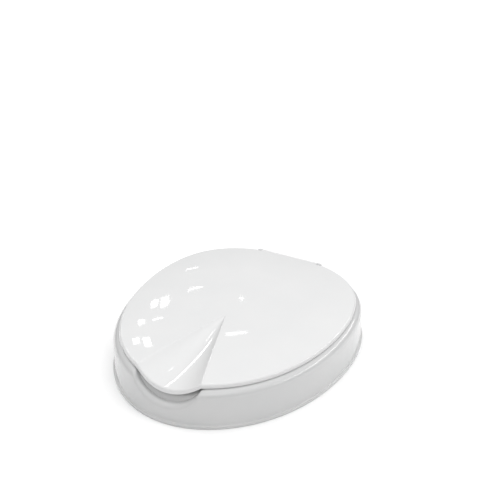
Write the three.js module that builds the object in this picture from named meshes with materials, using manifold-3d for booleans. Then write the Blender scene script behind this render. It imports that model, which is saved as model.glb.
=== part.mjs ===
// A raised toilet seat with a hinged lid, in millimetres, +Z up.
// The origin is the centre of the floor plane under the foot. The hinge is at +Y, the front at -Y.
import * as THREE from "three";
import { ParametricGeometry } from "three/addons/geometries/ParametricGeometry.js";
import { mergeVertices } from "three/addons/utils/BufferGeometryUtils.js";
import Module from "manifold-3d";

const wasm = await Module();
wasm.setup();

// ---------- driving dimensions ----------

// Plan outline of the lid: an egg, wider behind than in front.
const LID_HALF_WIDTH = 176;
const LID_HALF_LENGTH = 211.6;
const EGG_TAPER = [0.107, 0.12, 0.092];
const EGG_SHOULDER = 0.0125;

// Outward offsets of the seat shell from the lid outline.
const FOOT_OFFSET = 13.2;
const WALL_OFFSET = 10.2;
const WALL_DRAFT = 0.3;
const SHOULDER_RADIUS = 12;
const WALL_THICKNESS = 3;

// Heights of the seat shell.
const RIM_HEIGHT = 63.2;
const SHOULDER_HEIGHT = RIM_HEIGHT - SHOULDER_RADIUS;
const LIP_HEIGHT = 55.8;
const FOOT_HEIGHT = 5.2;
const FILLET_HEIGHT = 17;
const FLANGE_FOOT = 19.3;

// Opening of the seat.
const APERTURE_HALF_WIDTH = 104;
const APERTURE_HALF_LENGTH = 135;
const APERTURE_CENTRE = -15;
const APERTURE_TAPER = 0.09;

// Hand recess at the front, and arch at the rear that clears the pan.
const RECESS = { halfWidth: 55, depth: 31, corner: 0.08, softness: 0.35 };
const SCOOP = { part: 0.5, reach: 0.12, fade: 1.2 };
const ARCH = { halfWidth: 92, depth: 14, corner: 0.08, softness: 0.35 };

// Lid.
const LID_TOP_EDGE = 71.2;
const LID_EDGE_HEIGHT = 7.5;
const LID_EDGE_RADIUS = 3.5;
const LID_THICKNESS = 2.8;
const LID_CROWN = 6;
const LID_REAR = 204.6;
const LID_REAR_SOFTNESS = 2.2;

// Grip channel of the lid: a shallow cone that opens to the front from its apex.
const CHANNEL_APEX = -26.4;
const CHANNEL_SPREAD = 0.321;
const CHANNEL_SLOPE = 0.097;

// Hinge.
const HINGE_Y = 203.5;
const HINGE_Z = 67.6;
const BARREL_RADIUS = 4;
const BARREL_HALF_LENGTH = 53.9;
const LUG_RADIUS = 4.2;
const LUG_INNER = 54.3;
const LUG_OUTER = 59.8;
const SLOT_OUTER = 62.5;
const PIN_RADIUS = 2;
const PIN_INNER_END = 38;
const CLEARANCE = 0.35;

// Base plate, with the collar that hangs in the pan.
const PLATE_BOTTOM = 15.5;
const PLATE_TOP = 18.5;
const PLATE_OFFSET = 7.1;
const COLLAR_BOTTOM = 2.5;
const SCREW_ANGLES = [28, 62, 118, 152, -38, -142];
const BOSS_RADIUS = 5.5;
const BOSS_TOP = 58.6;
const SCREW_RADIUS = 1.8;
const SCREW_LENGTH = 17;
const SCREW_HEAD_RADIUS = 4;

// Pads between the base plate and the rim of the pan.
const RIM_PAD = { inner: -24, outer: -12, top: 15.2, bottom: 12.4, halfAngle: 9 };
const RIM_PAD_ANGLES = { front_left: -142, front_right: -38, rear_left: 134, rear_right: 46 };

// Buffers under the lid.
const BUFFER_RADIUS = 6;
const BUFFER_OFFSET = -22;
const BUFFER_ANGLES = { front_left: -134, front_right: -46, rear_left: 140, rear_right: 40 };

// Clamps, which slide along X in slots of the base plate.
const CLAMP_X = 128;
const CLAMP_TRAVEL = 8;
const SLOT_WIDTH = 7;
const BOLT_RADIUS = 3;

const WHITE = 0xf4f4f2;
const PALE_GREY = 0xb9bcbe;
const STEEL = 0xa8abb0;

// ---------- solids ----------

function radians(degrees) {
  return (degrees * Math.PI) / 180;
}

// One closed surface with shared corners and no flat triangles.
function sealed(geometry) {
  const bare = new THREE.BufferGeometry();
  bare.setAttribute("position", geometry.getAttribute("position"));
  bare.setIndex(geometry.getIndex());
  const merged = mergeVertices(bare, 1e-3);
  const corners = merged.index.array;
  const kept = [];
  for (let i = 0; i < corners.length; i += 3) {
    const [a, b, c] = [corners[i], corners[i + 1], corners[i + 2]];
    if (a !== b && b !== c && c !== a) kept.push(a, b, c);
  }
  merged.setIndex(kept);
  return merged;
}

function solid(geometry) {
  const closed = sealed(geometry);
  const mesh = new wasm.Mesh({
    numProp: 3,
    vertProperties: new Float32Array(closed.getAttribute("position").array),
    triVerts: new Uint32Array(closed.index.array),
  });
  return new wasm.Manifold(mesh);
}

function geometryOf(manifold) {
  const mesh = manifold.getMesh();
  const geometry = new THREE.BufferGeometry();
  geometry.setAttribute("position", new THREE.BufferAttribute(mesh.vertProperties, 3));
  geometry.setIndex(new THREE.BufferAttribute(mesh.triVerts, 1));
  geometry.computeVertexNormals();
  return geometry;
}

// A body with others joined to it, then others cut from it.
function carved(base, joined, cut) {
  const whole = joined.reduce((sum, piece) => sum.add(solid(piece)), solid(base));
  return geometryOf(cut.reduce((rest, piece) => rest.subtract(solid(piece)), whole));
}

// A skin through rows of a profile: place(turn, index) is the corner at that turn and profile index.
function lofted(place, turns, profileLength, closed) {
  const spans = closed ? profileLength : profileLength - 1;
  const corner = (u, v, target) => {
    const index = Math.round(v * spans) % profileLength;
    target.copy(place(u, index));
  };
  return sealed(new ParametricGeometry(corner, turns, spans));
}

function block(x0, x1, y0, y1, z0, z1) {
  const box = new THREE.BoxGeometry(x1 - x0, y1 - y0, z1 - z0);
  return box.translate((x0 + x1) / 2, (y0 + y1) / 2, (z0 + z1) / 2);
}

function rodAlongZ(radius, bottom, top, x = 0, y = 0, sides = 12) {
  const rod = new THREE.CylinderGeometry(radius, radius, top - bottom, sides);
  return rod.rotateX(Math.PI / 2).translate(x, y, (bottom + top) / 2);
}

function rodAlongX(radius, start, end, y, z, sides = 16) {
  const rod = new THREE.CylinderGeometry(radius, radius, end - start, sides);
  return rod.rotateZ(Math.PI / 2).translate((start + end) / 2, y, z);
}

function turned(points, sides = 16) {
  const profile = points.map(([r, z]) => new THREE.Vector2(r, z));
  return new THREE.LatheGeometry(profile, sides).rotateX(Math.PI / 2);
}

// ---------- plan curves ----------

function egg(t) {
  const s = Math.sin(t);
  const [k1, k2, k3] = EGG_TAPER;
  const x = LID_HALF_WIDTH * Math.cos(t) * (1 + k1 * s + k2 * s * s + k3 * s ** 3);
  const y = LID_HALF_LENGTH * s * (1 + EGG_SHOULDER * Math.cos(t) ** 2);
  return new THREE.Vector2(x, y);
}

// The lid's outline is the egg with its rear end flattened along the hinge.
function lidEgg(t) {
  const point = egg(t);
  const excess = Math.exp((point.y - LID_REAR) / LID_REAR_SOFTNESS);
  return new THREE.Vector2(point.x, point.y - LID_REAR_SOFTNESS * Math.log(1 + excess));
}

function apertureEgg(t) {
  const x = APERTURE_HALF_WIDTH * Math.cos(t) * (1 + APERTURE_TAPER * Math.sin(t));
  return new THREE.Vector2(x, APERTURE_CENTRE + APERTURE_HALF_LENGTH * Math.sin(t));
}

// A point of a closed plan curve, moved outwards by an offset.
function offsetPoint(curve, t, offset) {
  const step = 1e-3;
  const ahead = curve(t + step);
  const behind = curve(t - step);
  const along = ahead.sub(behind).normalize();
  return curve(t).add(new THREE.Vector2(along.y, -along.x).multiplyScalar(offset));
}

// Turns are spread so that they lie closest together at the front recess.
const FRONT_CROWDING = 0.58;
const TURNS = 88;

function turnAngle(u) {
  const turn = 2 * Math.PI * u;
  return -Math.PI / 2 + turn - FRONT_CROWDING * Math.sin(turn);
}

// ---------- shapes of the recess, the arch and the grip channel ----------

// Depth of a dip with steep sides and rounded corners, at distance x from its middle.
function dip(shape, x) {
  const inside = 1 - (x / shape.halfWidth) ** 2;
  const smooth = (inside + Math.hypot(inside, shape.corner)) / 2;
  const middle = (1 + Math.hypot(1, shape.corner)) / 2;
  const rise = (w) => w / (Math.sqrt(w) + shape.softness);
  return (shape.depth * rise(smooth)) / rise(middle);
}

function channelDepth(x, y) {
  const distance = CHANNEL_APEX - y;
  if (distance <= 0) return 0;
  const across = x / (CHANNEL_SPREAD * distance);
  return CHANNEL_SLOPE * distance * Math.max(0, 1 - across * across);
}

// ---------- seat shell ----------

function shoulder(radius, degrees) {
  const centre = WALL_OFFSET - SHOULDER_RADIUS;
  const x = centre + radius * Math.cos(radians(degrees));
  return [x, SHOULDER_HEIGHT + radius * Math.sin(radians(degrees))];
}

const INNER_SHOULDER = SHOULDER_RADIUS - WALL_THICKNESS;
const RIM_OFFSET = WALL_OFFSET - SHOULDER_RADIUS;
const WALL_FOOT = WALL_OFFSET + WALL_DRAFT;

// Each entry is [offset, height] on the skirt.
const skirtOutside = [
  [FOOT_OFFSET - 3.6, 0],
  [FOOT_OFFSET - 0.9, 0],
  [FOOT_OFFSET, 0.9],
  [FOOT_OFFSET, FOOT_HEIGHT - 0.8],
  [FOOT_OFFSET - 0.9, FOOT_HEIGHT + 0.3],
  [WALL_FOOT + 0.6, FOOT_HEIGHT + 1.3],
  [WALL_FOOT + 0.1, FOOT_HEIGHT + 4],
  [WALL_FOOT, FILLET_HEIGHT],
  [WALL_OFFSET, SHOULDER_HEIGHT],
  shoulder(SHOULDER_RADIUS, 22.5),
  shoulder(SHOULDER_RADIUS, 45),
  shoulder(SHOULDER_RADIUS, 67.5),
  shoulder(SHOULDER_RADIUS, 90),
];
const skirtInside = [
  shoulder(INNER_SHOULDER, 90),
  shoulder(INNER_SHOULDER, 45),
  shoulder(INNER_SHOULDER, 0),
  [WALL_FOOT - WALL_THICKNESS, FILLET_HEIGHT],
  [WALL_FOOT - WALL_THICKNESS, FILLET_HEIGHT - 3],
  [FOOT_OFFSET - 3.9, FOOT_HEIGHT + 0.8],
];

// Shares of the way from the rim to the aperture.
const seatShares = [0.05, 0.12, 0.22, 0.38, 0.6, 0.82];
const SEAT_CURVE = 1.6;

// Each entry is [offset from the aperture, height].
const flange = [
  [4, LIP_HEIGHT],
  [1.3, LIP_HEIGHT - 1.2],
  [0, LIP_HEIGHT - 4.2],
  [0, FLANGE_FOOT],
  [WALL_THICKNESS, FLANGE_FOOT],
  [WALL_THICKNESS, LIP_HEIGHT - 5],
  [WALL_THICKNESS + 2.5, LIP_HEIGHT - 3.4],
];

const onSkirt = ([offset, z]) => ({ share: 0, offset, z });
const seatHeight = (share) => RIM_HEIGHT - (RIM_HEIGHT - LIP_HEIGHT) * share ** SEAT_CURVE;
const onSeat = (share) => ({ share, offset: 0, z: seatHeight(share) });
const underSeat = (share) => ({ share, offset: 0, z: seatHeight(share) - WALL_THICKNESS });
const onFlange = ([offset, z]) => ({ share: 1, offset, z });

const shellProfile = [
  ...skirtOutside.map(onSkirt),
  ...seatShares.map(onSeat),
  ...flange.map(onFlange),
  ...seatShares.map(underSeat).reverse(),
  ...skirtInside.map(onSkirt),
];

function seatPoint(t, share) {
  const rim = offsetPoint(egg, t, RIM_OFFSET);
  return rim.lerp(offsetPoint(apertureEgg, t, flange[0][0]), share);
}

function shellPlan(t, { share, offset }) {
  if (share === 0) return offsetPoint(egg, t, offset);
  if (share === 1) return offsetPoint(apertureEgg, t, offset);
  return seatPoint(t, share);
}

// The recess lowers the shoulder whole and shortens the wall below it. Behind the shoulder it is a scoop
// that climbs back to the height of the seat.
function lowered(z, x, share) {
  const scoop = SCOOP.part * Math.exp(-share / SCOOP.reach) + (1 - SCOOP.part) * (1 - share) ** SCOOP.fade;
  const depth = dip(RECESS, x) * scoop;
  const part = (z - FLANGE_FOOT) / (SHOULDER_HEIGHT - FLANGE_FOOT);
  return z - depth * THREE.MathUtils.clamp(part, 0, 1);
}

// The arch lifts the foot whole, and shortens the wall above it.
function lifted(z, x) {
  const part = (SHOULDER_HEIGHT - z) / (SHOULDER_HEIGHT - FILLET_HEIGHT);
  return z + dip(ARCH, x) * THREE.MathUtils.clamp(part, 0, 1);
}

function shellCorner(u, index) {
  const spot = shellProfile[index];
  const { x, y } = shellPlan(turnAngle(u), spot);
  if (y < 0) return new THREE.Vector3(x, y, lowered(spot.z, x, spot.share));
  const z = spot.share === 0 ? lifted(spot.z, x) : spot.z;
  return new THREE.Vector3(x, y, z);
}

function lugGeometry(side) {
  const outline = new THREE.Shape();
  outline.moveTo(HINGE_Y - LUG_RADIUS, RIM_HEIGHT - 5.5);
  outline.lineTo(HINGE_Y + LUG_RADIUS, RIM_HEIGHT - 5.5);
  outline.lineTo(HINGE_Y + LUG_RADIUS, HINGE_Z);
  outline.absarc(HINGE_Y, HINGE_Z, LUG_RADIUS, 0, Math.PI, false);
  const depth = LUG_OUTER - LUG_INNER;
  const lug = new THREE.ExtrudeGeometry(outline, { depth, bevelEnabled: false, curveSegments: 6 });
  lug.rotateY(Math.PI / 2).rotateX(Math.PI / 2);
  return lug.translate(side > 0 ? LUG_INNER : -LUG_OUTER, 0, 0);
}

function screwPlaces() {
  return SCREW_ANGLES.map((degrees) => seatPoint(radians(degrees), 0.5));
}

function seatShell() {
  const skin = lofted(shellCorner, TURNS, shellProfile.length, true);
  const places = screwPlaces();
  const bosses = places.map(({ x, y }) => rodAlongZ(BOSS_RADIUS, PLATE_TOP + 0.3, BOSS_TOP, x, y));
  const pilots = places.map(({ x, y }) => rodAlongZ(SCREW_RADIUS + 0.4, 0, PLATE_TOP + SCREW_LENGTH, x, y));
  const lugs = [lugGeometry(-1), lugGeometry(1)];
  const bore = rodAlongX(PIN_RADIUS + CLEARANCE, -LUG_OUTER - 2, LUG_OUTER + 2, HINGE_Y, HINGE_Z);
  return carved(skin, [...bosses, ...lugs], [...pilots, bore]);
}

// ---------- base plate ----------

const platePlan = [
  { curve: egg, offset: PLATE_OFFSET, z: PLATE_BOTTOM },
  { curve: egg, offset: PLATE_OFFSET, z: PLATE_TOP },
  { curve: apertureEgg, offset: -1, z: PLATE_TOP },
  { curve: apertureEgg, offset: -3, z: COLLAR_BOTTOM },
  { curve: apertureEgg, offset: -0.5, z: COLLAR_BOTTOM },
  { curve: apertureEgg, offset: 1.8, z: PLATE_BOTTOM },
];

function plateCorner(u, index) {
  const { curve, offset, z } = platePlan[index];
  const { x, y } = offsetPoint(curve, turnAngle(u), offset);
  return new THREE.Vector3(x, y, z);
}

function basePlate() {
  const skin = lofted(plateCorner, TURNS, platePlan.length, true);
  const holes = screwPlaces().flatMap(({ x, y }) => [
    rodAlongZ(SCREW_RADIUS + 0.4, 0, 40, x, y),
    rodAlongZ(SCREW_HEAD_RADIUS + 0.5, 0, PLATE_BOTTOM + 1.7, x, y),
  ]);
  const reach = CLAMP_TRAVEL + SLOT_WIDTH / 2;
  const slots = [-1, 1].map((side) =>
    block(side * CLAMP_X - reach, side * CLAMP_X + reach, -SLOT_WIDTH / 2, SLOT_WIDTH / 2, 10, 25),
  );
  return carved(skin, [], [...holes, ...slots]);
}

function baseScrew() {
  const head = PLATE_BOTTOM + 0.1;
  const seat = PLATE_BOTTOM + 1.4;
  const tip = PLATE_BOTTOM + SCREW_LENGTH;
  return turned(
    [
      [0, head],
      [SCREW_HEAD_RADIUS, head],
      [SCREW_HEAD_RADIUS, seat],
      [SCREW_RADIUS, seat],
      [SCREW_RADIUS, tip],
      [0, tip + 1.5],
    ],
    12,
  );
}

// ---------- lid ----------

const apex = new THREE.Vector2(0, CHANNEL_APEX);
const LID_INNER_RADIUS = LID_EDGE_RADIUS - LID_THICKNESS;

// Each entry is [share of the way from the apex to the edge, drop below the top skin].
const lidTop = [0, 0.3, 0.55, 0.75, 0.9].map((share) => ({ share, offset: -LID_EDGE_RADIUS, drop: 0 }));
const lidUnderside = lidTop.map(({ share, offset }) => ({ share, offset, drop: LID_THICKNESS })).reverse();

function lidEdgeArc(radius, degrees) {
  const offset = -LID_EDGE_RADIUS + radius * Math.sin(radians(degrees));
  return { share: 1, offset, drop: LID_EDGE_RADIUS - radius * Math.cos(radians(degrees)) };
}

const lidProfile = [
  ...lidTop,
  lidEdgeArc(LID_EDGE_RADIUS, 0),
  lidEdgeArc(LID_EDGE_RADIUS, 30),
  lidEdgeArc(LID_EDGE_RADIUS, 60),
  lidEdgeArc(LID_EDGE_RADIUS, 90),
  { share: 1, offset: -0.2, drop: LID_EDGE_HEIGHT - 0.5 },
  { share: 1, offset: -0.8, drop: LID_EDGE_HEIGHT },
  { share: 1, offset: -LID_THICKNESS, drop: LID_EDGE_HEIGHT },
  lidEdgeArc(LID_INNER_RADIUS, 90),
  lidEdgeArc(LID_INNER_RADIUS, 0),
  ...lidUnderside,
].reverse();

function lidTopHeight(x, y, share) {
  return LID_TOP_EDGE + LID_CROWN * (1 - share ** 3) - channelDepth(x, y);
}

function lidCorner(u, index) {
  const { share, offset, drop } = lidProfile[index];
  const edge = offsetPoint(lidEgg, turnAngle(u), offset);
  const { x, y } = apex.clone().lerp(edge, share);
  return new THREE.Vector3(x, y, lidTopHeight(x, y, share) - drop);
}

function lidGeometry() {
  const skin = lofted(lidCorner, TURNS, lidProfile.length, false);
  const barrel = rodAlongX(BARREL_RADIUS, -BARREL_HALF_LENGTH, BARREL_HALF_LENGTH, HINGE_Y, HINGE_Z);
  const slots = [
    block(-SLOT_OUTER, -BARREL_HALF_LENGTH, HINGE_Y - LUG_RADIUS - 0.8, 220, 50, 90),
    block(BARREL_HALF_LENGTH, SLOT_OUTER, HINGE_Y - LUG_RADIUS - 0.8, 220, 50, 90),
  ];
  const bores = [
    rodAlongX(PIN_RADIUS + CLEARANCE, -60, -PIN_INNER_END + 1, HINGE_Y, HINGE_Z),
    rodAlongX(PIN_RADIUS + CLEARANCE, PIN_INNER_END - 1, 60, HINGE_Y, HINGE_Z),
  ];
  return carved(skin, [barrel], [...slots, ...bores]);
}

// A pin whose head lies outside its lug, pointing inwards along -X.
function hingePin() {
  const head = LUG_OUTER + CLEARANCE;
  const profile = turned([
    [0, PIN_INNER_END],
    [PIN_RADIUS - 0.5, PIN_INNER_END],
    [PIN_RADIUS, PIN_INNER_END + 0.8],
    [PIN_RADIUS, head],
    [3.6, head],
    [3.6, head + 1],
    [2.8, head + 1.8],
    [0, head + 1.8],
  ]);
  return profile.rotateY(Math.PI / 2);
}

// ---------- pads and buffers ----------

function rimPad(degrees) {
  const { inner, outer, top, bottom, halfAngle } = RIM_PAD;
  const steps = [-1, -0.75, -0.5, -0.25, 0, 0.25, 0.5, 0.75, 1];
  const side = (offset) => steps.map((step) => offsetPoint(egg, radians(degrees + halfAngle * step), offset));
  const plan = new THREE.Shape([...side(outer), ...side(inner).reverse()]);
  const pad = new THREE.ExtrudeGeometry(plan, { depth: top - bottom, bevelEnabled: false });
  return pad.translate(0, 0, bottom);
}

function buffer(x, y, lowest, highest) {
  return turned(
    [
      [0, lowest],
      [BUFFER_RADIUS - 1, lowest],
      [BUFFER_RADIUS, lowest + 1],
      [BUFFER_RADIUS, highest],
      [0, highest],
    ],
    16,
  ).translate(x, y, 0);
}

// ---------- clamps, each around its own bolt axis, with +X towards the rim of the pan ----------

const BRACKET_TOP = PLATE_BOTTOM - 0.3;
const BRACKET_BOTTOM = 11.9;
const LEG_INNER = 16.5;
const LEG_OUTER = 20;

function clampBracket() {
  const foot = block(-9.5, LEG_OUTER, -13, 13, BRACKET_BOTTOM, BRACKET_TOP);
  const leg = block(LEG_INNER, LEG_OUTER, -13, 13, 2, BRACKET_BOTTOM + 1);
  return carved(foot, [leg], [rodAlongZ(BOLT_RADIUS + 0.4, 0, 30)]);
}

function clampPad() {
  const outline = new THREE.Shape();
  const corner = 2;
  const [halfWidth, low, high] = [11, 2.4, 11.6];
  outline.moveTo(-halfWidth + corner, low);
  outline.lineTo(halfWidth - corner, low);
  outline.absarc(halfWidth - corner, low + corner, corner, -Math.PI / 2, 0, false);
  outline.lineTo(halfWidth, high);
  outline.lineTo(-halfWidth, high);
  outline.absarc(-halfWidth + corner, low + corner, corner, Math.PI, 1.5 * Math.PI, false);
  const pad = new THREE.ExtrudeGeometry(outline, { depth: 3, bevelEnabled: false, curveSegments: 4 });
  return pad.rotateX(Math.PI / 2).rotateZ(Math.PI / 2).translate(LEG_OUTER + 0.3, 0, 0);
}

function clampBolt() {
  const head = PLATE_TOP + 0.3;
  const stem = turned([
    [0, 2.2],
    [BOLT_RADIUS - 0.6, 2.2],
    [BOLT_RADIUS, 2.8],
    [BOLT_RADIUS, head + 0.5],
    [8, head + 0.5],
    [7, head + 2.4],
    [3.5, head + 3.6],
    [0, head + 3.8],
  ]);
  const underHead = turned([
    [0, head],
    [8, head],
    [8, head + 0.6],
    [0, head + 0.6],
  ]);
  const neck = block(-3.1, 3.1, -3.1, 3.1, PLATE_BOTTOM + 0.4, head + 0.4);
  return carved(stem, [underHead, neck], []);
}

function clampWasher() {
  const [inner, outer, low, high] = [BOLT_RADIUS + 0.4, 7.5, 10.4, 11.6];
  return turned([
    [inner, low],
    [outer, low],
    [outer, high],
    [inner, high],
    [inner, low],
  ]);
}

function wingOutline() {
  const wing = new THREE.Shape();
  wing.moveTo(3.6, 4.4);
  wing.bezierCurveTo(7, 2.6, 11, 2.4, 11.2, 5.4);
  wing.bezierCurveTo(11.2, 8, 7, 9.4, 3.6, 9.4);
  return wing;
}

function wingNut() {
  const hub = turned([
    [0, 4],
    [4.6, 4],
    [5.4, 9],
    [5.4, 10.1],
    [0, 10.1],
  ]);
  const options = { depth: 2.4, bevelEnabled: false, curveSegments: 6 };
  const wing = new THREE.ExtrudeGeometry(wingOutline(), options).rotateX(Math.PI / 2).translate(0, 1.2, 0);
  const other = wing.clone().rotateZ(Math.PI);
  return carved(hub, [wing, other], [rodAlongZ(BOLT_RADIUS + CLEARANCE, 0, 30)]);
}

// ---------- assembly ----------

const plastic = () => new THREE.MeshStandardMaterial({ color: WHITE, roughness: 0.22, metalness: 0 });
const rubber = () => new THREE.MeshStandardMaterial({ color: PALE_GREY, roughness: 0.8, metalness: 0 });
const steel = () => new THREE.MeshStandardMaterial({ color: STEEL, roughness: 0.3, metalness: 1 });

function named(name, geometry, material) {
  const mesh = new THREE.Mesh(geometry, material);
  mesh.name = name;
  return mesh;
}

function lidBuffer(name, degrees) {
  const t = radians(degrees);
  const place = offsetPoint(egg, t, BUFFER_OFFSET);
  const outermost = offsetPoint(egg, t, BUFFER_OFFSET + BUFFER_RADIUS);
  const share = outermost.distanceTo(apex) / offsetPoint(egg, t, -LID_EDGE_RADIUS).distanceTo(apex);
  const highest = lidTopHeight(outermost.x, outermost.y, share) - LID_THICKNESS - CLEARANCE;
  return named("lid_buffer_" + name, buffer(place.x, place.y, RIM_HEIGHT - 0.4, highest), rubber());
}

function clampAssembly(side) {
  const clamp = new THREE.Group();
  clamp.add(named("clamp_bracket_" + side, clampBracket(), plastic()));
  clamp.add(named("clamp_pad_" + side, clampPad(), rubber()));
  clamp.add(named("clamp_bolt_" + side, clampBolt(), steel()));
  clamp.add(named("clamp_washer_" + side, clampWasher(), steel()));
  clamp.add(named("wing_nut_" + side, wingNut(), plastic()));
  return clamp;
}

const raisedSeat = new THREE.Group();

raisedSeat.add(named("seat_shell", seatShell(), plastic()));
raisedSeat.add(named("base_plate", basePlate(), plastic()));
raisedSeat.add(named("lid", lidGeometry(), plastic()));

raisedSeat.add(named("hinge_pin_right", hingePin().translate(0, HINGE_Y, HINGE_Z), steel()));
raisedSeat.add(named("hinge_pin_left", hingePin().rotateZ(Math.PI).translate(0, HINGE_Y, HINGE_Z), steel()));

for (const [name, degrees] of Object.entries(BUFFER_ANGLES)) raisedSeat.add(lidBuffer(name, degrees));
for (const [name, degrees] of Object.entries(RIM_PAD_ANGLES)) {
  raisedSeat.add(named("rim_pad_" + name, rimPad(degrees), rubber()));
}
screwPlaces().forEach(({ x, y }, index) => {
  const screw = named("base_screw_" + (index + 1), baseScrew(), steel());
  screw.position.set(x, y, 0);
  raisedSeat.add(screw);
});

const rightClamp = clampAssembly("right");
rightClamp.position.x = CLAMP_X;
const leftClamp = clampAssembly("left");
leftClamp.position.x = -CLAMP_X;
leftClamp.rotation.z = Math.PI;
raisedSeat.add(rightClamp, leftClamp);

export default raisedSeat;
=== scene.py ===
"""A raised toilet seat with a hinged lid: fine meshes, moulded plastic, and a soft white studio."""
import math

import bmesh
import bpy
import numpy as np
from mathutils import Matrix, Vector


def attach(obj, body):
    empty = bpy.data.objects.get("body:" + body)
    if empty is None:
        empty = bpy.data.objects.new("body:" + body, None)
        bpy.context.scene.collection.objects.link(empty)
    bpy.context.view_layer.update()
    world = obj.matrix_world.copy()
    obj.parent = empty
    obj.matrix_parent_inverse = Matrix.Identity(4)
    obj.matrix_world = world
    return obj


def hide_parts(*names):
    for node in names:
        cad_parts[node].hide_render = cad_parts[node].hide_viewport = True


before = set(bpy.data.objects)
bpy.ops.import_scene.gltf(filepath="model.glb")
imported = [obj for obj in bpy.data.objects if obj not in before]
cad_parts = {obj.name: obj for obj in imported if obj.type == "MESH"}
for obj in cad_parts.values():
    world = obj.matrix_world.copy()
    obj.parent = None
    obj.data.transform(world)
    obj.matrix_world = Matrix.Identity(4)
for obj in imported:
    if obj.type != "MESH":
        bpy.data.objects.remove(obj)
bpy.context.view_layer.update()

MM = 0.001

# ---------- driving dimensions, in millimetres ----------

LID_HALF_WIDTH = 176
LID_HALF_LENGTH = 211.6
EGG_TAPER = (0.107, 0.12, 0.092)
EGG_SHOULDER = 0.0125

FOOT_OFFSET = 13.2
WALL_OFFSET = 10.2
WALL_DRAFT = 0.3
SHOULDER_RADIUS = 12
RIM_OFFSET = WALL_OFFSET - SHOULDER_RADIUS
WALL_THICKNESS = 3
RIM_HEIGHT = 63.2
SHOULDER_HEIGHT = RIM_HEIGHT - SHOULDER_RADIUS
LIP_HEIGHT = 55.8
LIP_OFFSET = 4
FOOT_HEIGHT = 5.2
FILLET_HEIGHT = 17
FLANGE_FOOT = 19.3

APERTURE_HALF_WIDTH = 104
APERTURE_HALF_LENGTH = 135
APERTURE_CENTRE = -15
APERTURE_TAPER = 0.09

RECESS_HALF_WIDTH = 55
RECESS_DEPTH = 31
SCOOP_PART = 0.5
SCOOP_REACH = 0.12
SCOOP_FADE = 1.2
SEAT_CURVE = 1.6
ARCH_HALF_WIDTH = 92
ARCH_DEPTH = 14
DIP_CORNER = 0.08
DIP_SOFTNESS = 0.35

LID_TOP_EDGE = 71.2
LID_EDGE_HEIGHT = 7.5
LID_EDGE_RADIUS = 3.5
LID_EDGE_TANGENT = 84
LID_THICKNESS = 2.8
LID_CROWN = 6
LID_REAR = 204.6
LID_REAR_SOFTNESS = 2.2

CHANNEL_APEX = -26.4
CHANNEL_SPREAD = 0.321
CHANNEL_SLOPE = 0.097
CREASE_SOFTNESS = 0.04

HINGE_Y = 203.5
HINGE_Z = 67.6
BARREL_RADIUS = 4
BARREL_HALF_LENGTH = 53.9
LUG_RADIUS = 4.2
LUG_INNER = 54.3
LUG_OUTER = 59.8
SLOT_OUTER = 62.5
PIN_RADIUS = 2
PIN_INNER_END = 38
CLEARANCE = 0.35

PLATE_BOTTOM = 15.5
PLATE_TOP = 18.5
PLATE_OFFSET = 7.1
COLLAR_BOTTOM = 2.5
SCREW_ANGLES = (28, 62, 118, 152, -38, -142)
BOSS_RADIUS = 5.5
BOSS_TOP = 58.6
SCREW_RADIUS = 1.8
SCREW_LENGTH = 17
SCREW_HEAD_RADIUS = 4

PAD_INNER = -24
PAD_OUTER = -12
PAD_TOP = 15.2
PAD_BOTTOM = 12.4
PAD_HALF_ANGLE = 9
PAD_ANGLES = {"front_left": -142, "front_right": -38, "rear_left": 134, "rear_right": 46}
BUFFER_RADIUS = 6
BUFFER_OFFSET = -22
BUFFER_ANGLES = {"front_left": -134, "front_right": -46, "rear_left": 140, "rear_right": 40}

CLAMP_X = 128
CLAMP_TRAVEL = 8
SLOT_WIDTH = 7
BOLT_RADIUS = 3
BRACKET_TOP = PLATE_BOTTOM - 0.3
BRACKET_BOTTOM = 11.9
LEG_INNER = 16.5
LEG_OUTER = 20

FRONT_CROWDING = 0.58
TURNS = 480
SHARP_ANGLE = 32

# ---------- stage, light and camera, in metres; the lens and sensor in mm ----------

CAMERA_PLACE = (0.68796, -1.23822, 0.95211)
CAMERA_FORWARD = (-0.412548, 0.775606, -0.477743)
CAMERA_LENS = 74.43
SENSOR_WIDTH = 36
FLOOR_REACH = 40
FLOOR_DROP = 0.0003
DOME_STRENGTH = 1.7
LIGHT_DISTANCE = 3.0


# ---------- plan curves, for whole arrays of turn angles ----------

def egg(t):
    s, c = np.sin(t), np.cos(t)
    k1, k2, k3 = EGG_TAPER
    x = LID_HALF_WIDTH * c * (1 + k1 * s + k2 * s**2 + k3 * s**3)
    y = LID_HALF_LENGTH * s * (1 + EGG_SHOULDER * c**2)
    return np.stack([x, y], -1)


def lid_egg(t):
    """The egg with its rear end flattened along the hinge."""
    point = egg(t)
    point[..., 1] -= LID_REAR_SOFTNESS * np.log1p(np.exp((point[..., 1] - LID_REAR) / LID_REAR_SOFTNESS))
    return point


def aperture_egg(t):
    x = APERTURE_HALF_WIDTH * np.cos(t) * (1 + APERTURE_TAPER * np.sin(t))
    return np.stack([x, APERTURE_CENTRE + APERTURE_HALF_LENGTH * np.sin(t)], -1)


def offset_curve(curve, t, offset):
    step = 1e-3
    along = curve(t + step) - curve(t - step)
    along /= np.linalg.norm(along, axis=-1, keepdims=True)
    normal = np.stack([along[..., 1], -along[..., 0]], -1)
    return curve(t) + normal * offset


def turn_angles():
    """Turns round the plan, which lie closest together at the front recess."""
    turn = 2 * np.pi * np.arange(TURNS) / TURNS
    return -np.pi / 2 + turn - FRONT_CROWDING * np.sin(turn)


def seat_plan(t, share):
    """A point on the way from the rim, at share 0, to the edge of the aperture, at share 1."""
    rim = offset_curve(egg, t, RIM_OFFSET)
    return rim + (offset_curve(aperture_egg, t, LIP_OFFSET) - rim) * share


# ---------- shapes of the recess, the arch and the grip channel ----------

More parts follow.
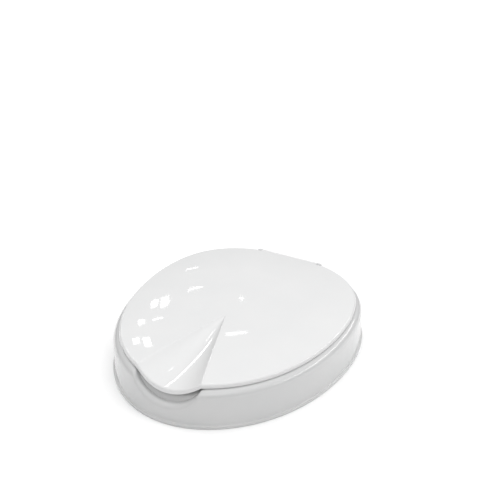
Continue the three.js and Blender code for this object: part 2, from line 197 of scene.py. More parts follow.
def dip(half_width, depth, x):
    """Depth of a dip with steep sides and rounded corners, at distance x from its middle."""
    inside = 1 - (x / half_width) ** 2
    smooth = (inside + np.hypot(inside, DIP_CORNER)) / 2
    middle = (1 + math.hypot(1, DIP_CORNER)) / 2
    rise = lambda w: w / (np.sqrt(w) + DIP_SOFTNESS)
    return depth * rise(smooth) / rise(middle)


def channel_depth(x, y):
    distance = np.maximum(CHANNEL_APEX - y, 1e-6)
    inside = np.maximum(1 - (x / (CHANNEL_SPREAD * distance)) ** 2, -5)
    smooth = (inside + np.hypot(inside, CREASE_SOFTNESS)) / 2
    return np.where(y < CHANNEL_APEX, CHANNEL_SLOPE * distance * smooth, 0)


# ---------- mesh making ----------

def arc(centre, radius, start, end, steps):
    """Points of an arc, in degrees, both ends included."""
    angles = np.radians(np.linspace(start, end, steps + 1))
    return [(centre[0] + radius * math.cos(a), centre[1] + radius * math.sin(a)) for a in angles]


def tidy_mesh(mesh):
    work = bmesh.new()
    work.from_mesh(mesh)
    bmesh.ops.remove_doubles(work, verts=work.verts, dist=2e-6)
    bmesh.ops.dissolve_degenerate(work, edges=work.edges, dist=1e-7)
    bmesh.ops.recalc_face_normals(work, faces=work.faces)
    work.to_mesh(mesh)
    work.free()


def smooth_shaded(obj):
    obj.data.shade_smooth()
    obj.data.set_sharp_from_angle(angle=math.radians(SHARP_ANGLE))
    return obj


def make_object(name, vertices, faces):
    mesh = bpy.data.meshes.new(name)
    mesh.from_pydata([tuple(v) for v in np.asarray(vertices) * MM], [], faces)
    tidy_mesh(mesh)
    obj = bpy.data.objects.new(name, mesh)
    bpy.context.scene.collection.objects.link(obj)
    return smooth_shaded(obj)


def moved(obj, matrix):
    obj.data.transform(matrix)
    return obj


def shifted(obj, x=0, y=0, z=0):
    return moved(obj, Matrix.Translation(Vector((x, y, z)) * MM))


def turned_about(obj, degrees, axis):
    return moved(obj, Matrix.Rotation(math.radians(degrees), 4, axis))


def with_modifiers_applied(obj):
    graph = bpy.context.evaluated_depsgraph_get()
    mesh = bpy.data.meshes.new_from_object(obj.evaluated_get(graph))
    obj.modifiers.clear()
    obj.data = mesh
    return smooth_shaded(obj)


def bevelled(obj, width, segments=3, angle=SHARP_ANGLE):
    """Rounds the sharp edges, as the radius of a mould does."""
    modifier = obj.modifiers.new("edges", "BEVEL")
    modifier.width = width * MM
    modifier.segments = segments
    modifier.limit_method = "ANGLE"
    modifier.angle_limit = math.radians(angle)
    return with_modifiers_applied(obj)


def combined(obj, others, operation):
    for other in others:
        modifier = obj.modifiers.new("combine", "BOOLEAN")
        modifier.operation = operation
        modifier.solver = "EXACT"
        modifier.object = other
    with_modifiers_applied(obj)
    for other in others:
        bpy.data.objects.remove(other)
    tidy_mesh(obj.data)
    return smooth_shaded(obj)


def joined(obj, others):
    return combined(obj, others, "UNION")


def cut(obj, others):
    return combined(obj, others, "DIFFERENCE")


def lattice_faces(rows, length, closed_rows, closed_profile):
    """Faces between neighbouring rows of points, each row holding the same number of them."""
    faces = []
    for i in range(rows if closed_rows else rows - 1):
        near, far = i * length, (i + 1) % rows * length
        for j in range(length if closed_profile else length - 1):
            beyond = (j + 1) % length
            faces.append((near + j, far + j, far + beyond, near + beyond))
    return faces


def lofted(name, rows, closed):
    """A skin through rows of points, one row for each turn round the plan."""
    turns, length = rows.shape[:2]
    return make_object(name, rows.reshape(-1, 3), lattice_faces(turns, length, True, closed))


def swept(name, rows):
    """A solid through rows that each close on themselves, with a cap on the first and the last."""
    count, length = rows.shape[:2]
    faces = lattice_faces(count, length, False, True)
    faces += [tuple(range(length)), tuple((count - 1) * length + j for j in range(length))]
    return make_object(name, rows.reshape(-1, 3), faces)


def turned(name, profile, sides=48):
    """A profile of radius and height, turned about Z. It starts and ends on the axis or closes on itself."""
    radius, height = np.array(profile, float).T
    angle = 2 * np.pi * np.arange(sides)[:, None] / sides
    rows = np.stack([radius * np.cos(angle), radius * np.sin(angle), height + 0 * angle], -1)
    return lofted(name, rows, False)


def extruded(name, outline, bottom, top):
    """A flat outline of x and y, given a thickness along Z."""
    outline = np.array(outline, float)
    levels = [np.column_stack([outline, np.full(len(outline), z)]) for z in (bottom, top)]
    return swept(name, np.stack(levels))


def block(name, low, high):
    (x0, y0, z0), (x1, y1, z1) = low, high
    return extruded(name, [(x0, y0), (x1, y0), (x1, y1), (x0, y1)], z0, z1)


def rod_along_x(name, radius, start, end, y, z):
    rod = turned(name, [(0, start), (radius, start), (radius, end), (0, end)])
    return shifted(turned_about(rod, 90, "Y"), y=y, z=z)


def threaded_rod(name, core, crest, pitch, bottom, top, sides=24):
    """A screw thread: the crest climbs by one pitch for each turn, and fades out at both ends."""
    heights = np.linspace(bottom, top, int((top - bottom) / pitch * 6) + 1)
    angle = 2 * np.pi * np.arange(sides)[:, None] / sides
    phase = (heights - pitch * angle / (2 * np.pi)) / pitch
    ridge = 1 - np.abs(2 * (phase % 1) - 1)
    fade = np.clip(np.minimum(heights - bottom, top - heights) / pitch, 0, 1)
    radius = core + (crest - core) * ridge * fade
    rows = np.stack([radius * np.cos(angle), radius * np.sin(angle), heights + 0 * angle], -1)
    ends = [np.zeros((sides, 1, 3)), np.zeros((sides, 1, 3))]
    ends[0][..., 2] = bottom
    ends[1][..., 2] = top
    return lofted(name, np.concatenate([ends[0], rows, ends[1]], 1), False)


# ---------- seat shell ----------

def skirt_outside():
    foot, wall = FOOT_OFFSET, WALL_OFFSET + WALL_DRAFT
    round_edge = 0.9
    ledge = FOOT_HEIGHT + 0.3
    points = [(foot - 3.6, 0), (foot - 2.2, 0)]
    points += arc((foot - round_edge, round_edge), round_edge, -90, 0, 5)
    points += [(foot, FOOT_HEIGHT / 2)]
    points += arc((foot - round_edge, FOOT_HEIGHT - 0.6), round_edge, 0, 90, 6)
    width, height = foot - round_edge - wall, 3.6
    for turn in np.radians(np.linspace(0, 90, 11)[1:]):
        points.append((wall + width * (1 - math.sin(turn)), ledge + height * (1 - math.cos(turn))))
    for share in np.linspace(0, 0.95, 14):
        z = FILLET_HEIGHT + share * (SHOULDER_HEIGHT - FILLET_HEIGHT)
        points.append((wall - WALL_DRAFT * share, z))
    return points + arc((RIM_OFFSET, SHOULDER_HEIGHT), SHOULDER_RADIUS, 0, 90, 22)


def skirt_inside():
    wall = WALL_OFFSET + WALL_DRAFT - WALL_THICKNESS
    points = arc((RIM_OFFSET, SHOULDER_HEIGHT), SHOULDER_RADIUS - WALL_THICKNESS, 90, 0, 8)
    points += [(wall, z) for z in np.linspace(SHOULDER_HEIGHT - 6, FILLET_HEIGHT, 5)]
    return points + [(wall, FILLET_HEIGHT - 3), (FOOT_OFFSET - 3.9, FOOT_HEIGHT + 0.8)]


def seat_drop(share):
    return (RIM_HEIGHT - LIP_HEIGHT) * share**SEAT_CURVE


def shell_profile():
    """Rows of share, offset and height."""
    rows = [(0, o, z) for o, z in skirt_outside()]
    shares = np.linspace(0, 1, 42)[1:-1] ** 1.4
    rows += [(s, 0, RIM_HEIGHT - seat_drop(s)) for s in shares]
    rows += [(1, LIP_OFFSET, LIP_HEIGHT)]
    rows += [(1, o, z) for o, z in arc((LIP_OFFSET, LIP_HEIGHT - LIP_OFFSET), LIP_OFFSET, 90, 180, 8)[1:]]
    rows += [(1, 0, z) for z in np.linspace(LIP_HEIGHT - 8, FLANGE_FOOT + 0.6, 6)]
    rows += [(1, 0.5, FLANGE_FOOT), (1, WALL_THICKNESS - 0.5, FLANGE_FOOT)]
    rows += [(1, WALL_THICKNESS, FLANGE_FOOT + 0.6)]
    rows += [(1, WALL_THICKNESS, LIP_HEIGHT - 5), (1, WALL_THICKNESS + 2.5, LIP_HEIGHT - 3.4)]
    rows += [(s, 0, RIM_HEIGHT - WALL_THICKNESS - seat_drop(s)) for s in shares[::-3]]
    rows += [(0, o, z) for o, z in skirt_inside()]
    return np.array(rows)


def lowered(z, x, share):
    """The recess lowers the shoulder and shortens the wall below it, and climbs behind it as a scoop."""
    scoop = SCOOP_PART * math.exp(-share / SCOOP_REACH) + (1 - SCOOP_PART) * (1 - share) ** SCOOP_FADE
    depth = dip(RECESS_HALF_WIDTH, RECESS_DEPTH, x) * scoop
    return z - depth * np.clip((z - FLANGE_FOOT) / (SHOULDER_HEIGHT - FLANGE_FOOT), 0, 1)


def lifted(z, x):
    """The arch lifts the foot whole, and shortens the wall above it."""
    part = np.clip((SHOULDER_HEIGHT - z) / (SHOULDER_HEIGHT - FILLET_HEIGHT), 0, 1)
    return z + dip(ARCH_HALF_WIDTH, ARCH_DEPTH, x) * part


def shell_rows():
    t = turn_angles()
    columns = []
    for share, offset, z in shell_profile():
        if share == 0:
            plan = offset_curve(egg, t, offset)
        elif share == 1:
            plan = offset_curve(aperture_egg, t, offset)
        else:
            plan = seat_plan(t, share)
        x, y = plan[:, 0], plan[:, 1]
        rear = lifted(z, x) if share == 0 else np.full_like(x, z)
        height = np.where(y < 0, lowered(z, x, share), rear)
        columns.append(np.stack([x, y, height], -1))
    return np.stack(columns, 1)


def hinge_lug(side):
    base = RIM_HEIGHT - 5.5
    outline = [(HINGE_Y - LUG_RADIUS, base), (HINGE_Y + LUG_RADIUS, base)]
    outline += arc((HINGE_Y, HINGE_Z), LUG_RADIUS, 0, 180, 24)
    lug = extruded("lug", outline, LUG_INNER, LUG_OUTER)
    standing = Matrix(((0, 0, side, 0), (1, 0, 0, 0), (0, 1, 0, 0), (0, 0, 0, 1)))
    moved(lug, standing)
    tidy_mesh(lug.data)
    return bevelled(lug, 0.5)


def screw_places():
    return seat_plan(np.radians(SCREW_ANGLES), 0.5)


def screw_boss(x, y):
    hole, depth = SCREW_RADIUS + 0.4, PLATE_TOP + SCREW_LENGTH
    low = PLATE_TOP + 0.3
    profile = [(0, depth), (hole, depth), (hole, low + 0.4), (hole + 0.4, low), (BOSS_RADIUS - 0.4, low),
               (BOSS_RADIUS, low + 0.4), (BOSS_RADIUS, BOSS_TOP), (0, BOSS_TOP)]
    return shifted(turned("boss", profile, 32), x, y)


def seat_shell():
    shell = lofted("seat_shell_moulding", shell_rows(), True)
    bosses = [screw_boss(x, y) for x, y in screw_places()]
    joined(shell, bosses + [hinge_lug(-1), hinge_lug(1)])
    reach = LUG_OUTER + 2
    return cut(shell, [rod_along_x("bore", PIN_RADIUS + CLEARANCE, -reach, reach, HINGE_Y, HINGE_Z)])


# ---------- lid ----------

def lid_edge():
    """Offset and drop round the outside of the edge. The arc meets the slope of the top skin."""
    start = math.radians(LID_EDGE_TANGENT)
    radius = LID_EDGE_RADIUS / (1 - math.cos(start))
    return [(o, -z) for o, z in arc((-radius, -radius * math.sin(start)), radius, LID_EDGE_TANGENT, 0, 16)]


def lid_profile():
    """Rows of share, offset and drop below the top skin, from its middle to the middle underneath."""
    edge, inner = -LID_EDGE_RADIUS, LID_EDGE_RADIUS - LID_THICKNESS
    lip = 0.8
    shares = np.concatenate([np.linspace(0, 0.9, 60), np.linspace(0.9, 1, 14)[1:-1]])
    rows = [(s, edge, 0) for s in shares]
    rows += [(1, o, drop) for o, drop in lid_edge()]
    rows += [(1, o - lip, LID_EDGE_HEIGHT - lip - z) for o, z in arc((0, 0), lip, 0, -90, 5)]
    rows += [(1, -LID_THICKNESS + 0.4, LID_EDGE_HEIGHT), (1, -LID_THICKNESS, LID_EDGE_HEIGHT - 0.4)]
    rows += [(1, edge + o, LID_EDGE_RADIUS - z) for o, z in arc((0, 0), inner, 0, 90, 6)]
    rows += [(s, edge, LID_THICKNESS) for s in (*shares[::-3], 0)]
    return np.array(rows)


def lid_top_height(x, y, share):
    return LID_TOP_EDGE + LID_CROWN * (1 - share**3) - channel_depth(x, y)


def lid_rows():
    t = turn_angles()
    apex = np.array([0, CHANNEL_APEX])
    columns = []
    for share, offset, drop in lid_profile():
        plan = apex + (offset_curve(lid_egg, t, offset) - apex) * share
        x, y = plan[:, 0], plan[:, 1]
        columns.append(np.stack([x, y, lid_top_height(x, y, share) - drop], -1))
    return np.stack(columns, 1)


def lid():
    tray = lofted("lid_moulding", lid_rows(), False)
    half = BARREL_HALF_LENGTH
    joined(tray, [rod_along_x("barrel", BARREL_RADIUS, -half, half, HINGE_Y, HINGE_Z)])
    front = HINGE_Y - LUG_RADIUS - 0.8
    bore = PIN_RADIUS + CLEARANCE
    cutters = []
    for side in (-1, 1):
        near, far = sorted((side * half, side * SLOT_OUTER))
        cutters.append(block("slot", (near, front, 50), (far, front + 40, 90)))
        near, far = sorted((side * (PIN_INNER_END - 1), side * (half + 4)))
        cutters.append(rod_along_x("bore", bore, near, far, HINGE_Y, HINGE_Z))
    return cut(tray, cutters)


def hinge_pin(side):
    head, head_radius = LUG_OUTER + CLEARANCE, 3.6
    profile = [(0, PIN_INNER_END), (PIN_RADIUS - 0.5, PIN_INNER_END), (PIN_RADIUS, PIN_INNER_END + 0.8),
               (PIN_RADIUS, head), (head_radius - 0.2, head), (head_radius, head + 0.2)]
    for turn in np.linspace(0, np.pi / 2, 8):
        profile.append((head_radius * math.cos(turn), head + 0.5 + 1.3 * math.sin(turn)))
    pin = turned_about(turned("hinge_pin", profile, 40), 90 * side, "Y")
    return shifted(pin, y=HINGE_Y, z=HINGE_Z)


# ---------- base plate and its fasteners ----------

def plate_rows():
    t = turn_angles()
    corner = 0.6
    edge = arc((PLATE_OFFSET - corner, PLATE_BOTTOM + corner), corner, -90, 0, 4)
    edge += arc((PLATE_OFFSET - corner, PLATE_TOP - corner), corner, 0, 90, 4)
    collar = [(-0.2, PLATE_TOP), (-1, PLATE_TOP - 0.8), (-2.9, COLLAR_BOTTOM + 1.4)]
    collar += [(-2.7, COLLAR_BOTTOM + 0.4), (-2.2, COLLAR_BOTTOM), (-1.2, COLLAR_BOTTOM)]
    collar += [(-0.7, COLLAR_BOTTOM + 0.4), (-0.4, COLLAR_BOTTOM + 1.4)]
    collar += [(1.4, PLATE_BOTTOM - 1.5), (1.9, PLATE_BOTTOM - 0.4), (2.6, PLATE_BOTTOM)]
    rows = [(egg, offset, z) for offset, z in edge]
    rows += [(aperture_egg, offset, z) for offset, z in collar]
    columns = []
    for curve, offset, z in rows:
        plan = offset_curve(curve, t, offset)
        columns.append(np.column_stack([plan, np.full(len(t), z)]))
    return np.stack(columns, 1)


def screw_hole(x, y):
    """A clearance hole with a pocket for the head and a small chamfer at its mouth."""
    hole, pocket, low = SCREW_RADIUS + 0.4, SCREW_HEAD_RADIUS + 0.5, PLATE_BOTTOM - 1
    profile = [(0, low), (pocket + 1.5, low), (pocket, PLATE_BOTTOM + 0.5), (pocket, PLATE_BOTTOM + 1.7),
               (hole, PLATE_BOTTOM + 1.7), (hole, PLATE_TOP + 1), (0, PLATE_TOP + 1)]
    return shifted(turned("hole", profile, 40), x, y)


def clamp_slot(side):
    reach = CLAMP_TRAVEL + SLOT_WIDTH / 2
    half = SLOT_WIDTH / 2
    corner = 1.2
    outline = arc((reach - corner, half - corner), corner, 0, 90, 5)
    outline += arc((corner - reach, half - corner), corner, 90, 180, 5)
    outline += arc((corner - reach, corner - half), corner, 180, 270, 5)
    outline += arc((reach - corner, corner - half), corner, 270, 360, 5)
    return shifted(extruded("slot", outline, PLATE_BOTTOM - 2, PLATE_TOP + 2), x=side * CLAMP_X)


def base_plate():
    plate = lofted("base_plate_moulding", plate_rows(), True)
    holes = [screw_hole(x, y) for x, y in screw_places()]
    return cut(plate, holes + [clamp_slot(-1), clamp_slot(1)])


def cross_recess(size, depth, bottom):
    half = 0.45
    return [block("bar", (-size, -half, bottom - 1), (size, half, bottom + depth)),
            block("bar", (-half, -size, bottom - 1), (half, size, bottom + depth))]


def base_screw(x, y):
    head, seat = PLATE_BOTTOM + 0.1, PLATE_BOTTOM + 1.4
    tip = PLATE_BOTTOM + SCREW_LENGTH
    profile = [(0, head), (2.4, head + 0.05), (3.5, head + 0.3), (SCREW_HEAD_RADIUS, head + 0.8),
               (SCREW_HEAD_RADIUS, seat), (1.35, seat), (1.35, seat + 1), (0, seat + 1)]
    cap = cut(turned("screw", profile, 40), cross_recess(2.1, 0.75, head))
    shank = threaded_rod("shank", 1.3, SCREW_RADIUS, 1.4, seat + 0.5, tip)
    point = turned("point", [(0, tip - 0.4), (1.3, tip - 0.4), (1.3, tip - 0.2), (0, tip + 1.5)], 24)
    return shifted(joined(cap, [shank, point]), x, y)


# ---------- pads and buffers ----------

def rim_pad(degrees):
    """A rubber pad that follows the rim, with ribs across its gripping face."""
    ribs, rib_depth, corner = 11, 0.55, 0.6
    outer, inner = PAD_OUTER - corner, PAD_INNER + corner
    section = arc((outer, PAD_TOP - corner), corner, 90, 0, 3)
    section += arc((outer, PAD_BOTTOM + corner), corner, 0, -90, 3)
    section += arc((inner, PAD_BOTTOM + corner), corner, -90, -180, 3)
    section += arc((inner, PAD_TOP - corner), corner, 180, 90, 3)
    rows = []
    for step in np.linspace(-1, 1, 121):
        angle = np.radians(degrees + PAD_HALF_ANGLE * step)
        wave = 0.5 - 0.5 * math.cos(math.pi * ribs * (step + 1))
        groove = rib_depth * wave if abs(step) < 0.97 else 0
        row = []
        for offset, z in section:
            x, y = offset_curve(egg, angle, offset)
            row.append((x, y, z + groove if z < PAD_BOTTOM + 0.7 else z))
        rows.append(row)
    return swept("rim_pad", np.array(rows))


def buffer_height(degrees):
    """Height of the lid's underside over the outermost point of a buffer."""
    t = np.radians(degrees)
    x, y = offset_curve(egg, t, BUFFER_OFFSET + BUFFER_RADIUS)
    edge = offset_curve(egg, t, -LID_EDGE_RADIUS)
    share = math.hypot(x, y - CHANNEL_APEX) / math.hypot(edge[0], edge[1] - CHANNEL_APEX)
    return float(lid_top_height(x, y, share)) - LID_THICKNESS - CLEARANCE


def lid_buffer(degrees):
    low, high, radius = RIM_HEIGHT - 0.4, buffer_height(degrees), BUFFER_RADIUS
    profile = [(0, low), (radius - 2.6, low)]
    profile += arc((radius - 1.2, low + 1.2), 1.2, -90, 0, 6)
    profile += [(radius, high - 0.4), (radius - 0.4, high), (0, high)]
    x, y = offset_curve(egg, np.radians(degrees), BUFFER_OFFSET)
    return shifted(turned("lid_buffer", profile), x, y)


# ---------- clamps, each around its own bolt axis, with +X towards the rim of the pan ----------

def clamp_bracket():
    foot = block("clamp_bracket", (-9.5, -13, BRACKET_BOTTOM), (LEG_OUTER, 13, BRACKET_TOP))
    leg = block("leg", (LEG_INNER, -13, 2), (LEG_OUTER, 13, BRACKET_BOTTOM + 1))
    joined(foot, [leg] + [gusset(y) for y in (-11, 9)])
    bevelled(foot, 0.6)
    hole = BOLT_RADIUS + 0.4
    bore = turned("bore", [(0, 0), (hole, 0), (hole, 30), (0, 30)], 40)
    return cut(foot, [bore])


def gusset(y):
    corner = [(LEG_INNER + 1, BRACKET_BOTTOM + 1), (LEG_INNER + 1, 4.5), (LEG_INNER, 4.5),
              (LEG_INNER - 4, BRACKET_BOTTOM), (LEG_INNER - 4, BRACKET_BOTTOM + 1)]
    rib = extruded("gusset", corner, 0, 2)
    turned_about(rib, 90, "X")
    return shifted(rib, y=y + 2)


def clamp_pad():
    """The rubber facing of a bracket, with upright ribs."""
    inner, outer, half = LEG_OUTER + 0.3, LEG_OUTER + 3.3, 11
    ribs, rib_depth = 9, 0.45
    outline = [(inner, half), (inner, -half)]
    for y in np.linspace(-half, half, 111):
        wave = 0.5 - 0.5 * math.cos(math.pi * ribs * (y + half) / half)
        outline.append((outer - rib_depth * wave, y))
    return bevelled(extruded("clamp_pad", outline, 2.4, 11.6), 0.35, 2, 50)


def clamp_bolt():
    head, low, dome_radius = PLATE_TOP + 0.3, 2.2, 7.9
    profile = [(0, head), (7.7, head), (8, head + 0.3), (dome_radius, head + 0.8)]
    for turn in np.linspace(0, np.pi / 2, 14)[1:]:
        profile.append((dome_radius * math.cos(turn), head + 0.8 + 3 * math.sin(turn)))
    bolt = turned("clamp_bolt", profile, 56)
    neck = bevelled(block("neck", (-3.1, -3.1, PLATE_BOTTOM + 0.4), (3.1, 3.1, head + 0.4)), 0.3, 2)
    core = BOLT_RADIUS - 0.45
    top = head + 0.3
    stem = turned("stem", [(0, low), (core - 0.5, low), (core, low + 0.5), (core, top), (0, top)], 32)
    thread = threaded_rod("thread", core - 0.2, BOLT_RADIUS, 1, low + 0.3, PLATE_BOTTOM, 36)
    return joined(bolt, [neck, stem, thread])


def clamp_washer():
    inner, outer, low, high = BOLT_RADIUS + 0.4, 7.5, 10.4, 11.6
    corner = 0.25
    profile = [(inner, low + corner), (inner + corner, low), (outer - corner, low), (outer, low + corner),
               (outer, high - corner), (outer - corner, high), (inner + corner, high), (inner, high - corner)]
    return turned("clamp_washer", profile + profile[:1], 56)


def wing_nut():
    profile = [(0, 4), (4.2, 4), (4.6, 4.4), (5.3, 8.6), (5.4, 9.7), (5, 10.1), (0, 10.1)]
    hub = turned("wing_nut", profile, 56)
    hole = BOLT_RADIUS + CLEARANCE
    wings = [turned_about(wing(), turn, "Z") for turn in (0, 180)]
    mouth = [(0, 0), (hole + 0.8, 0), (hole + 0.8, 4), (hole, 4.8), (hole, 30), (0, 30)]
    return cut(joined(hub, wings), [turned("bore", mouth, 40)])


def wing():
    """One wing of the nut, between two curves that meet at a round tip."""
    lower = bezier((3.6, 4.4), (7, 2.6), (11, 2.4), (11.2, 5.4), 14)
    upper = bezier((11.2, 5.4), (11.2, 8), (7, 9.4), (3.6, 9.4), 14)
    blade = extruded("wing", lower + upper[1:], -1.2, 1.2)
    turned_about(blade, 90, "X")
    return bevelled(blade, 0.5, 3, 50)


def bezier(start, pull_start, pull_end, end, steps):
    points = []
    for t in np.linspace(0, 1, steps):
        weights = ((1 - t) ** 3, 3 * t * (1 - t) ** 2, 3 * t * t * (1 - t), t**3)
        corners = (start, pull_start, pull_end, end)
        points.append(tuple(sum(w * c[axis] for w, c in zip(weights, corners)) for axis in (0, 1)))
    return points


# ---------- materials ----------

class Nodes:
    """A short way to add and link shader nodes in one material."""

    # The stretch of a noise's values that a ramp or a range runs over.
    span = (0.3, 0.7)

    def __init__(self, name):
        self.material = bpy.data.materials.new(name)
        self.material.use_nodes = True
        self.tree = self.material.node_tree
        self.shader = self.tree.nodes["Principled BSDF"]
        coordinates = self.tree.nodes.new("ShaderNodeTexCoord")
        self.place = coordinates.outputs["Object"]

    def link(self, source, target):
        self.tree.links.new(source, target)

    def stretched(self, scale):
        mapping = self.tree.nodes.new("ShaderNodeMapping")
        mapping.inputs["Scale"].default_value = scale
        self.link(self.place, mapping.inputs["Vector"])
        return mapping.outputs["Vector"]

    def noise(self, scale, detail=3.0, roughness=0.5, place=None):
        """Noise whose features are about 1 / scale metres across."""
        node = self.tree.nodes.new("ShaderNodeTexNoise")
        node.inputs["Scale"].default_value = scale
        node.inputs["Detail"].default_value = detail
        node.inputs["Roughness"].default_value = roughness
        self.link(place or self.place, node.inputs["Vector"])
        return node.outputs["Fac"]

    def ranged(self, source, low, high):
        node = self.tree.nodes.new("ShaderNodeMapRange")
        start, end = self.span
        for socket, value in (("From Min", start), ("From Max", end), ("To Min", low), ("To Max", high)):
            node.inputs[socket].default_value = value
        self.link(source, node.inputs["Value"])
        return node.outputs["Result"]

    def total(self, first, second):
        node = self.tree.nodes.new("ShaderNodeMath")
        self.link(first, node.inputs[0])
        self.link(second, node.inputs[1])
        return node.outputs["Value"]

    def colours(self, source, first, second):
        ramp = self.tree.nodes.new("ShaderNodeValToRGB")
        start, end = self.span
        ramp.color_ramp.elements[0].position = start
        ramp.color_ramp.elements[0].color = (*first, 1)
        ramp.color_ramp.elements[1].position = end
        ramp.color_ramp.elements[1].color = (*second, 1)
        self.link(source, ramp.inputs["Fac"])
        self.link(ramp.outputs["Color"], self.shader.inputs["Base Color"])

    def bump(self, *layers):
        """Each layer is a height source and its depth in metres."""
        normal = None
        for height, depth in layers:
            node = self.tree.nodes.new("ShaderNodeBump")
            node.inputs["Distance"].default_value = depth
            self.link(height, node.inputs["Height"])
            if normal:
                self.link(normal, node.inputs["Normal"])
            normal = node.outputs["Normal"]
        self.link(normal, self.shader.inputs["Normal"])

    def roughness(self, source):
        self.link(source, self.shader.inputs["Roughness"])

    def set(self, **values):
        for name, value in values.items():
            self.shader.inputs[name.replace("_", " ")].default_value = value


def gloss_plastic(name, dark, light, roughness):
    """Polished white moulding: faint shade drift, soft orange peel and a light haze from handling."""
    nodes = Nodes(name)
    nodes.colours(nodes.noise(14, 4), dark, light)
    nodes.roughness(nodes.ranged(nodes.noise(45, 5, 0.6), roughness - 0.015, roughness + 0.03))
    nodes.bump((nodes.noise(160, 1), 0.00001), (nodes.noise(24, 1), 0.00008))
    nodes.set(IOR=1.5, Coat_Weight=0.5, Coat_Roughness=0.02)
    return nodes.material


def satin_plastic(name, dark, light):
    """Unpolished moulding: a spark-eroded grain with soft shade drift."""
    nodes = Nodes(name)
    nodes.colours(nodes.noise(30, 4), dark, light)
    nodes.roughness(nodes.ranged(nodes.noise(300, 3), 0.36, 0.52))
    nodes.bump((nodes.noise(1800, 3, 0.6), 0.00004), (nodes.noise(60, 2), 0.00004))
    nodes.set(IOR=1.48)
    return nodes.material


def rubber(name):
    """Matt grey rubber with a powdery bloom and a fine grain."""
    nodes = Nodes(name)
    nodes.colours(nodes.noise(120, 5, 0.6), (0.20, 0.205, 0.21), (0.30, 0.305, 0.31))
    nodes.roughness(nodes.ranged(nodes.noise(500, 3), 0.68, 0.88))
    nodes.bump((nodes.noise(2600, 4, 0.65), 0.00006))
    nodes.set(IOR=1.45)
    return nodes.material


def zinc_steel(name):
    """Bright zinc plate over drawn steel: spangled tint, fine draw lines and dulled spots."""
    nodes = Nodes(name)
    nodes.colours(nodes.noise(240, 4), (0.50, 0.52, 0.56), (0.68, 0.67, 0.64))
    lines = nodes.noise(1, 2, 0.5, nodes.stretched((3000, 3000, 160)))
    nodes.roughness(nodes.total(nodes.ranged(lines, 0.2, 0.32), nodes.ranged(nodes.noise(500, 3), 0, 0.14)))
    nodes.bump((lines, 0.000008))
    nodes.set(Metallic=1.0)
    return nodes.material


def make_materials():
    return {
        # The seat shell's white is set darker than the lid's white. This is painted shade that stands in for
        # the shade on the shell's walls, and it also darkens the shell's shoulder.
        "shell_plastic": gloss_plastic("shell_plastic", (0.535, 0.54, 0.542), (0.555, 0.555, 0.555), 0.08),
        "lid_plastic": gloss_plastic("lid_plastic", (0.65, 0.653, 0.655), (0.67, 0.67, 0.67), 0.03),
        "plate_plastic": satin_plastic("plate_plastic", (0.61, 0.61, 0.605), (0.64, 0.64, 0.635)),
        "clamp_plastic": satin_plastic("clamp_plastic", (0.60, 0.60, 0.60), (0.67, 0.67, 0.665)),
        "rubber": rubber("rubber"),
        "steel": zinc_steel("steel"),
    }


# ---------- assembly ----------

MATERIALS = make_materials()


def placed(piece, name, node, slot, body):
    piece.name = name
    piece.data.name = name
    piece.data.materials.clear()
    piece.data.materials.append(MATERIALS[slot])
    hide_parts(node)
    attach(piece, body)


def place_clamp(side, turn, x):
    body = "clamp_" + side
    pieces = (
        (clamp_bracket(), "clamp_bracket_", "clamp_plastic", body),
        (clamp_pad(), "clamp_pad_", "rubber", body),
        (clamp_bolt(), "clamp_bolt_", "steel", body),
        (clamp_washer(), "clamp_washer_", "steel", body),
        (wing_nut(), "wing_nut_", "clamp_plastic", "wing_nut_" + side),
    )
    for piece, name, slot, rides_on in pieces:
        turned_about(piece, turn, "Z")
        placed(shifted(piece, x=x), name + side + "_detail", name + side, slot, rides_on)


def place_everything():
    placed(seat_shell(), "seat_shell_moulding", "seat_shell", "shell_plastic", "seat")
    placed(lid(), "lid_moulding", "lid", "lid_plastic", "lid")
    placed(base_plate(), "base_plate_moulding", "base_plate", "plate_plastic", "seat")
    for side, sign in (("right", 1), ("left", -1)):
        placed(hinge_pin(sign), "hinge_pin_%s_detail" % side, "hinge_pin_" + side, "steel", "seat")
    for number, (x, y) in enumerate(screw_places(), 1):
        placed(base_screw(x, y), "base_screw_%d_detail" % number, "base_screw_%d" % number, "steel", "seat")
    for name, degrees in PAD_ANGLES.items():
        placed(rim_pad(degrees), "rim_pad_%s_ribbed" % name, "rim_pad_" + name, "rubber", "seat")
    for name, degrees in BUFFER_ANGLES.items():
        placed(lid_buffer(degrees), "lid_buffer_%s_detail" % name, "lid_buffer_" + name, "rubber", "lid")
    place_clamp("right", 0, CLAMP_X)
    place_clamp("left", 180, -CLAMP_X)


place_everything()


# ---------- stage, light and camera ----------

def make_floor():
    nodes = Nodes("floor")
    nodes.colours(nodes.noise(3, 2), (0.945, 0.945, 0.945), (0.96, 0.96, 0.96))
    nodes.set(Roughness=0.9, Specular_IOR_Level=0.0)
    mesh = bpy.data.meshes.new("floor")
    square = ((-1, -1), (1, -1), (1, 1), (-1, 1))
    corners = [(x * FLOOR_REACH, y * FLOOR_REACH, -FLOOR_DROP) for x, y in square]
    mesh.from_pydata(corners, [], [(0, 1, 2, 3)])
    mesh.materials.append(nodes.material)
    floor = bpy.data.objects.new("floor", mesh)
    bpy.context.scene.collection.objects.link(floor)


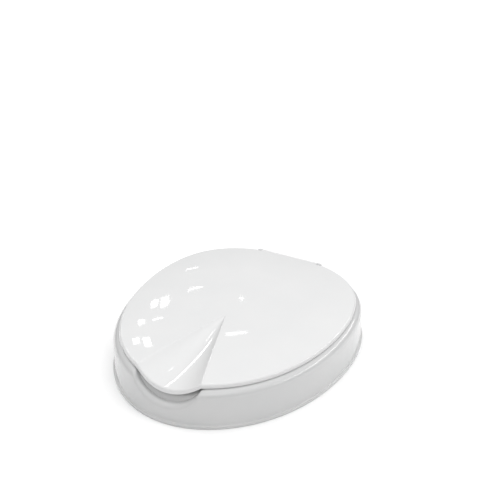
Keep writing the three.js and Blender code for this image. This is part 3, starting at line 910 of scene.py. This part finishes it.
def make_world():
    """A white studio dome, brightest straight above and straight below and dark at the horizon."""
    world = bpy.data.worlds.new("studio")
    world.use_nodes = True
    tree = world.node_tree
    background = tree.nodes["Background"]
    background.inputs["Color"].default_value = (1, 1, 1, 1)
    direction = tree.nodes.new("ShaderNodeTexCoord").outputs["Generated"]
    split = tree.nodes.new("ShaderNodeSeparateXYZ")
    tree.links.new(direction, split.inputs["Vector"])
    height = tree.nodes.new("ShaderNodeMath")
    height.operation = "ABSOLUTE"
    tree.links.new(split.outputs["Z"], height.inputs[0])
    strength = tree.nodes.new("ShaderNodeMath")
    strength.operation = "MULTIPLY"
    strength.inputs[1].default_value = DOME_STRENGTH
    tree.links.new(height.outputs[0], strength.inputs[0])
    tree.links.new(strength.outputs[0], background.inputs["Strength"])
    bpy.context.scene.world = world


def make_area_light(name, azimuth, elevation, target, width, height, radiance):
    """A rectangular light that faces a point given in mm from a direction given in degrees."""
    turn, rise = math.radians(azimuth), math.radians(elevation)
    direction = Vector((math.cos(turn) * math.cos(rise), math.sin(turn) * math.cos(rise), math.sin(rise)))
    data = bpy.data.lights.new(name, "AREA")
    data.shape = "RECTANGLE"
    data.size = width
    data.size_y = height
    data.energy = radiance * math.pi * width * height
    light = bpy.data.objects.new(name, data)
    light.location = Vector(target) * MM + direction * LIGHT_DISTANCE
    light.rotation_euler = direction.to_track_quat("Z", "Y").to_euler()
    bpy.context.scene.collection.objects.link(light)


def make_lights():
    """One soft front light, and the bright windows and lamps that the glossy plastic mirrors.

    The directions and points of the windows and lamps come from scratch programs. These reflected
    the fitted camera's rays at the highlights of the photograph. The sizes were set one by one.
    """
    make_area_light("softbox_front", -60, 45, (0, 0, 70), 1.2, 1.2, 0.6)
    make_area_light("long_window_right", 36, 34, (165, -70, 60), 4.6, 0.20, 8)
    make_area_light("tall_window_left", 140, 38, (10, -150, 63), 0.07, 1.9, 6)
    make_area_light("ceiling_lamp", 118.5, 34.4, (41, -64, 77), 0.11, 0.012, 8)
    make_area_light("small_lamp", 118.4, 30.8, (-1, 29, 77), 0.012, 0.012, 8)
    make_area_light("window_upper_left", 127.9, 28.9, (-120, -48, 75), 0.060, 0.070, 6)
    make_area_light("window_upper_right", 126.4, 29.2, (-108, -36, 76), 0.060, 0.090, 6)
    make_area_light("window_middle_left", 130.2, 31.4, (-109, -102, 74), 0.060, 0.050, 6)
    make_area_light("window_middle_right", 127.4, 31.6, (-90, -85, 75), 0.090, 0.016, 6)
    make_area_light("window_lower_left", 132.0, 34.8, (-87, -150, 73), 0.066, 0.066, 6)
    make_area_light("window_lower_right", 130.0, 35.4, (-70, -146, 74), 0.066, 0.110, 6)
    make_area_light("window_far_left", 123.6, 24.5, (-125, 80, 74), 0.090, 0.012, 6)
    make_area_light("window_far_right", 122.8, 28.8, (-85, 21, 76), 0.100, 0.010, 6)
    make_area_light("window_high", 119.3, 59.6, (-12, -174, 60), 0.040, 0.100, 6)


def make_camera():
    """The camera that a scratch program fitted to the outlines in the photograph."""
    data = bpy.data.cameras.new("camera")
    data.sensor_width = SENSOR_WIDTH
    data.lens = CAMERA_LENS
    camera = bpy.data.objects.new("camera", data)
    camera.location = CAMERA_PLACE
    camera.rotation_euler = Vector(CAMERA_FORWARD).to_track_quat("-Z", "Y").to_euler()
    bpy.context.scene.collection.objects.link(camera)
    bpy.context.scene.camera = camera


make_floor()
make_world()
make_lights()
make_camera()
bpy.context.scene.view_settings.view_transform = "Standard"
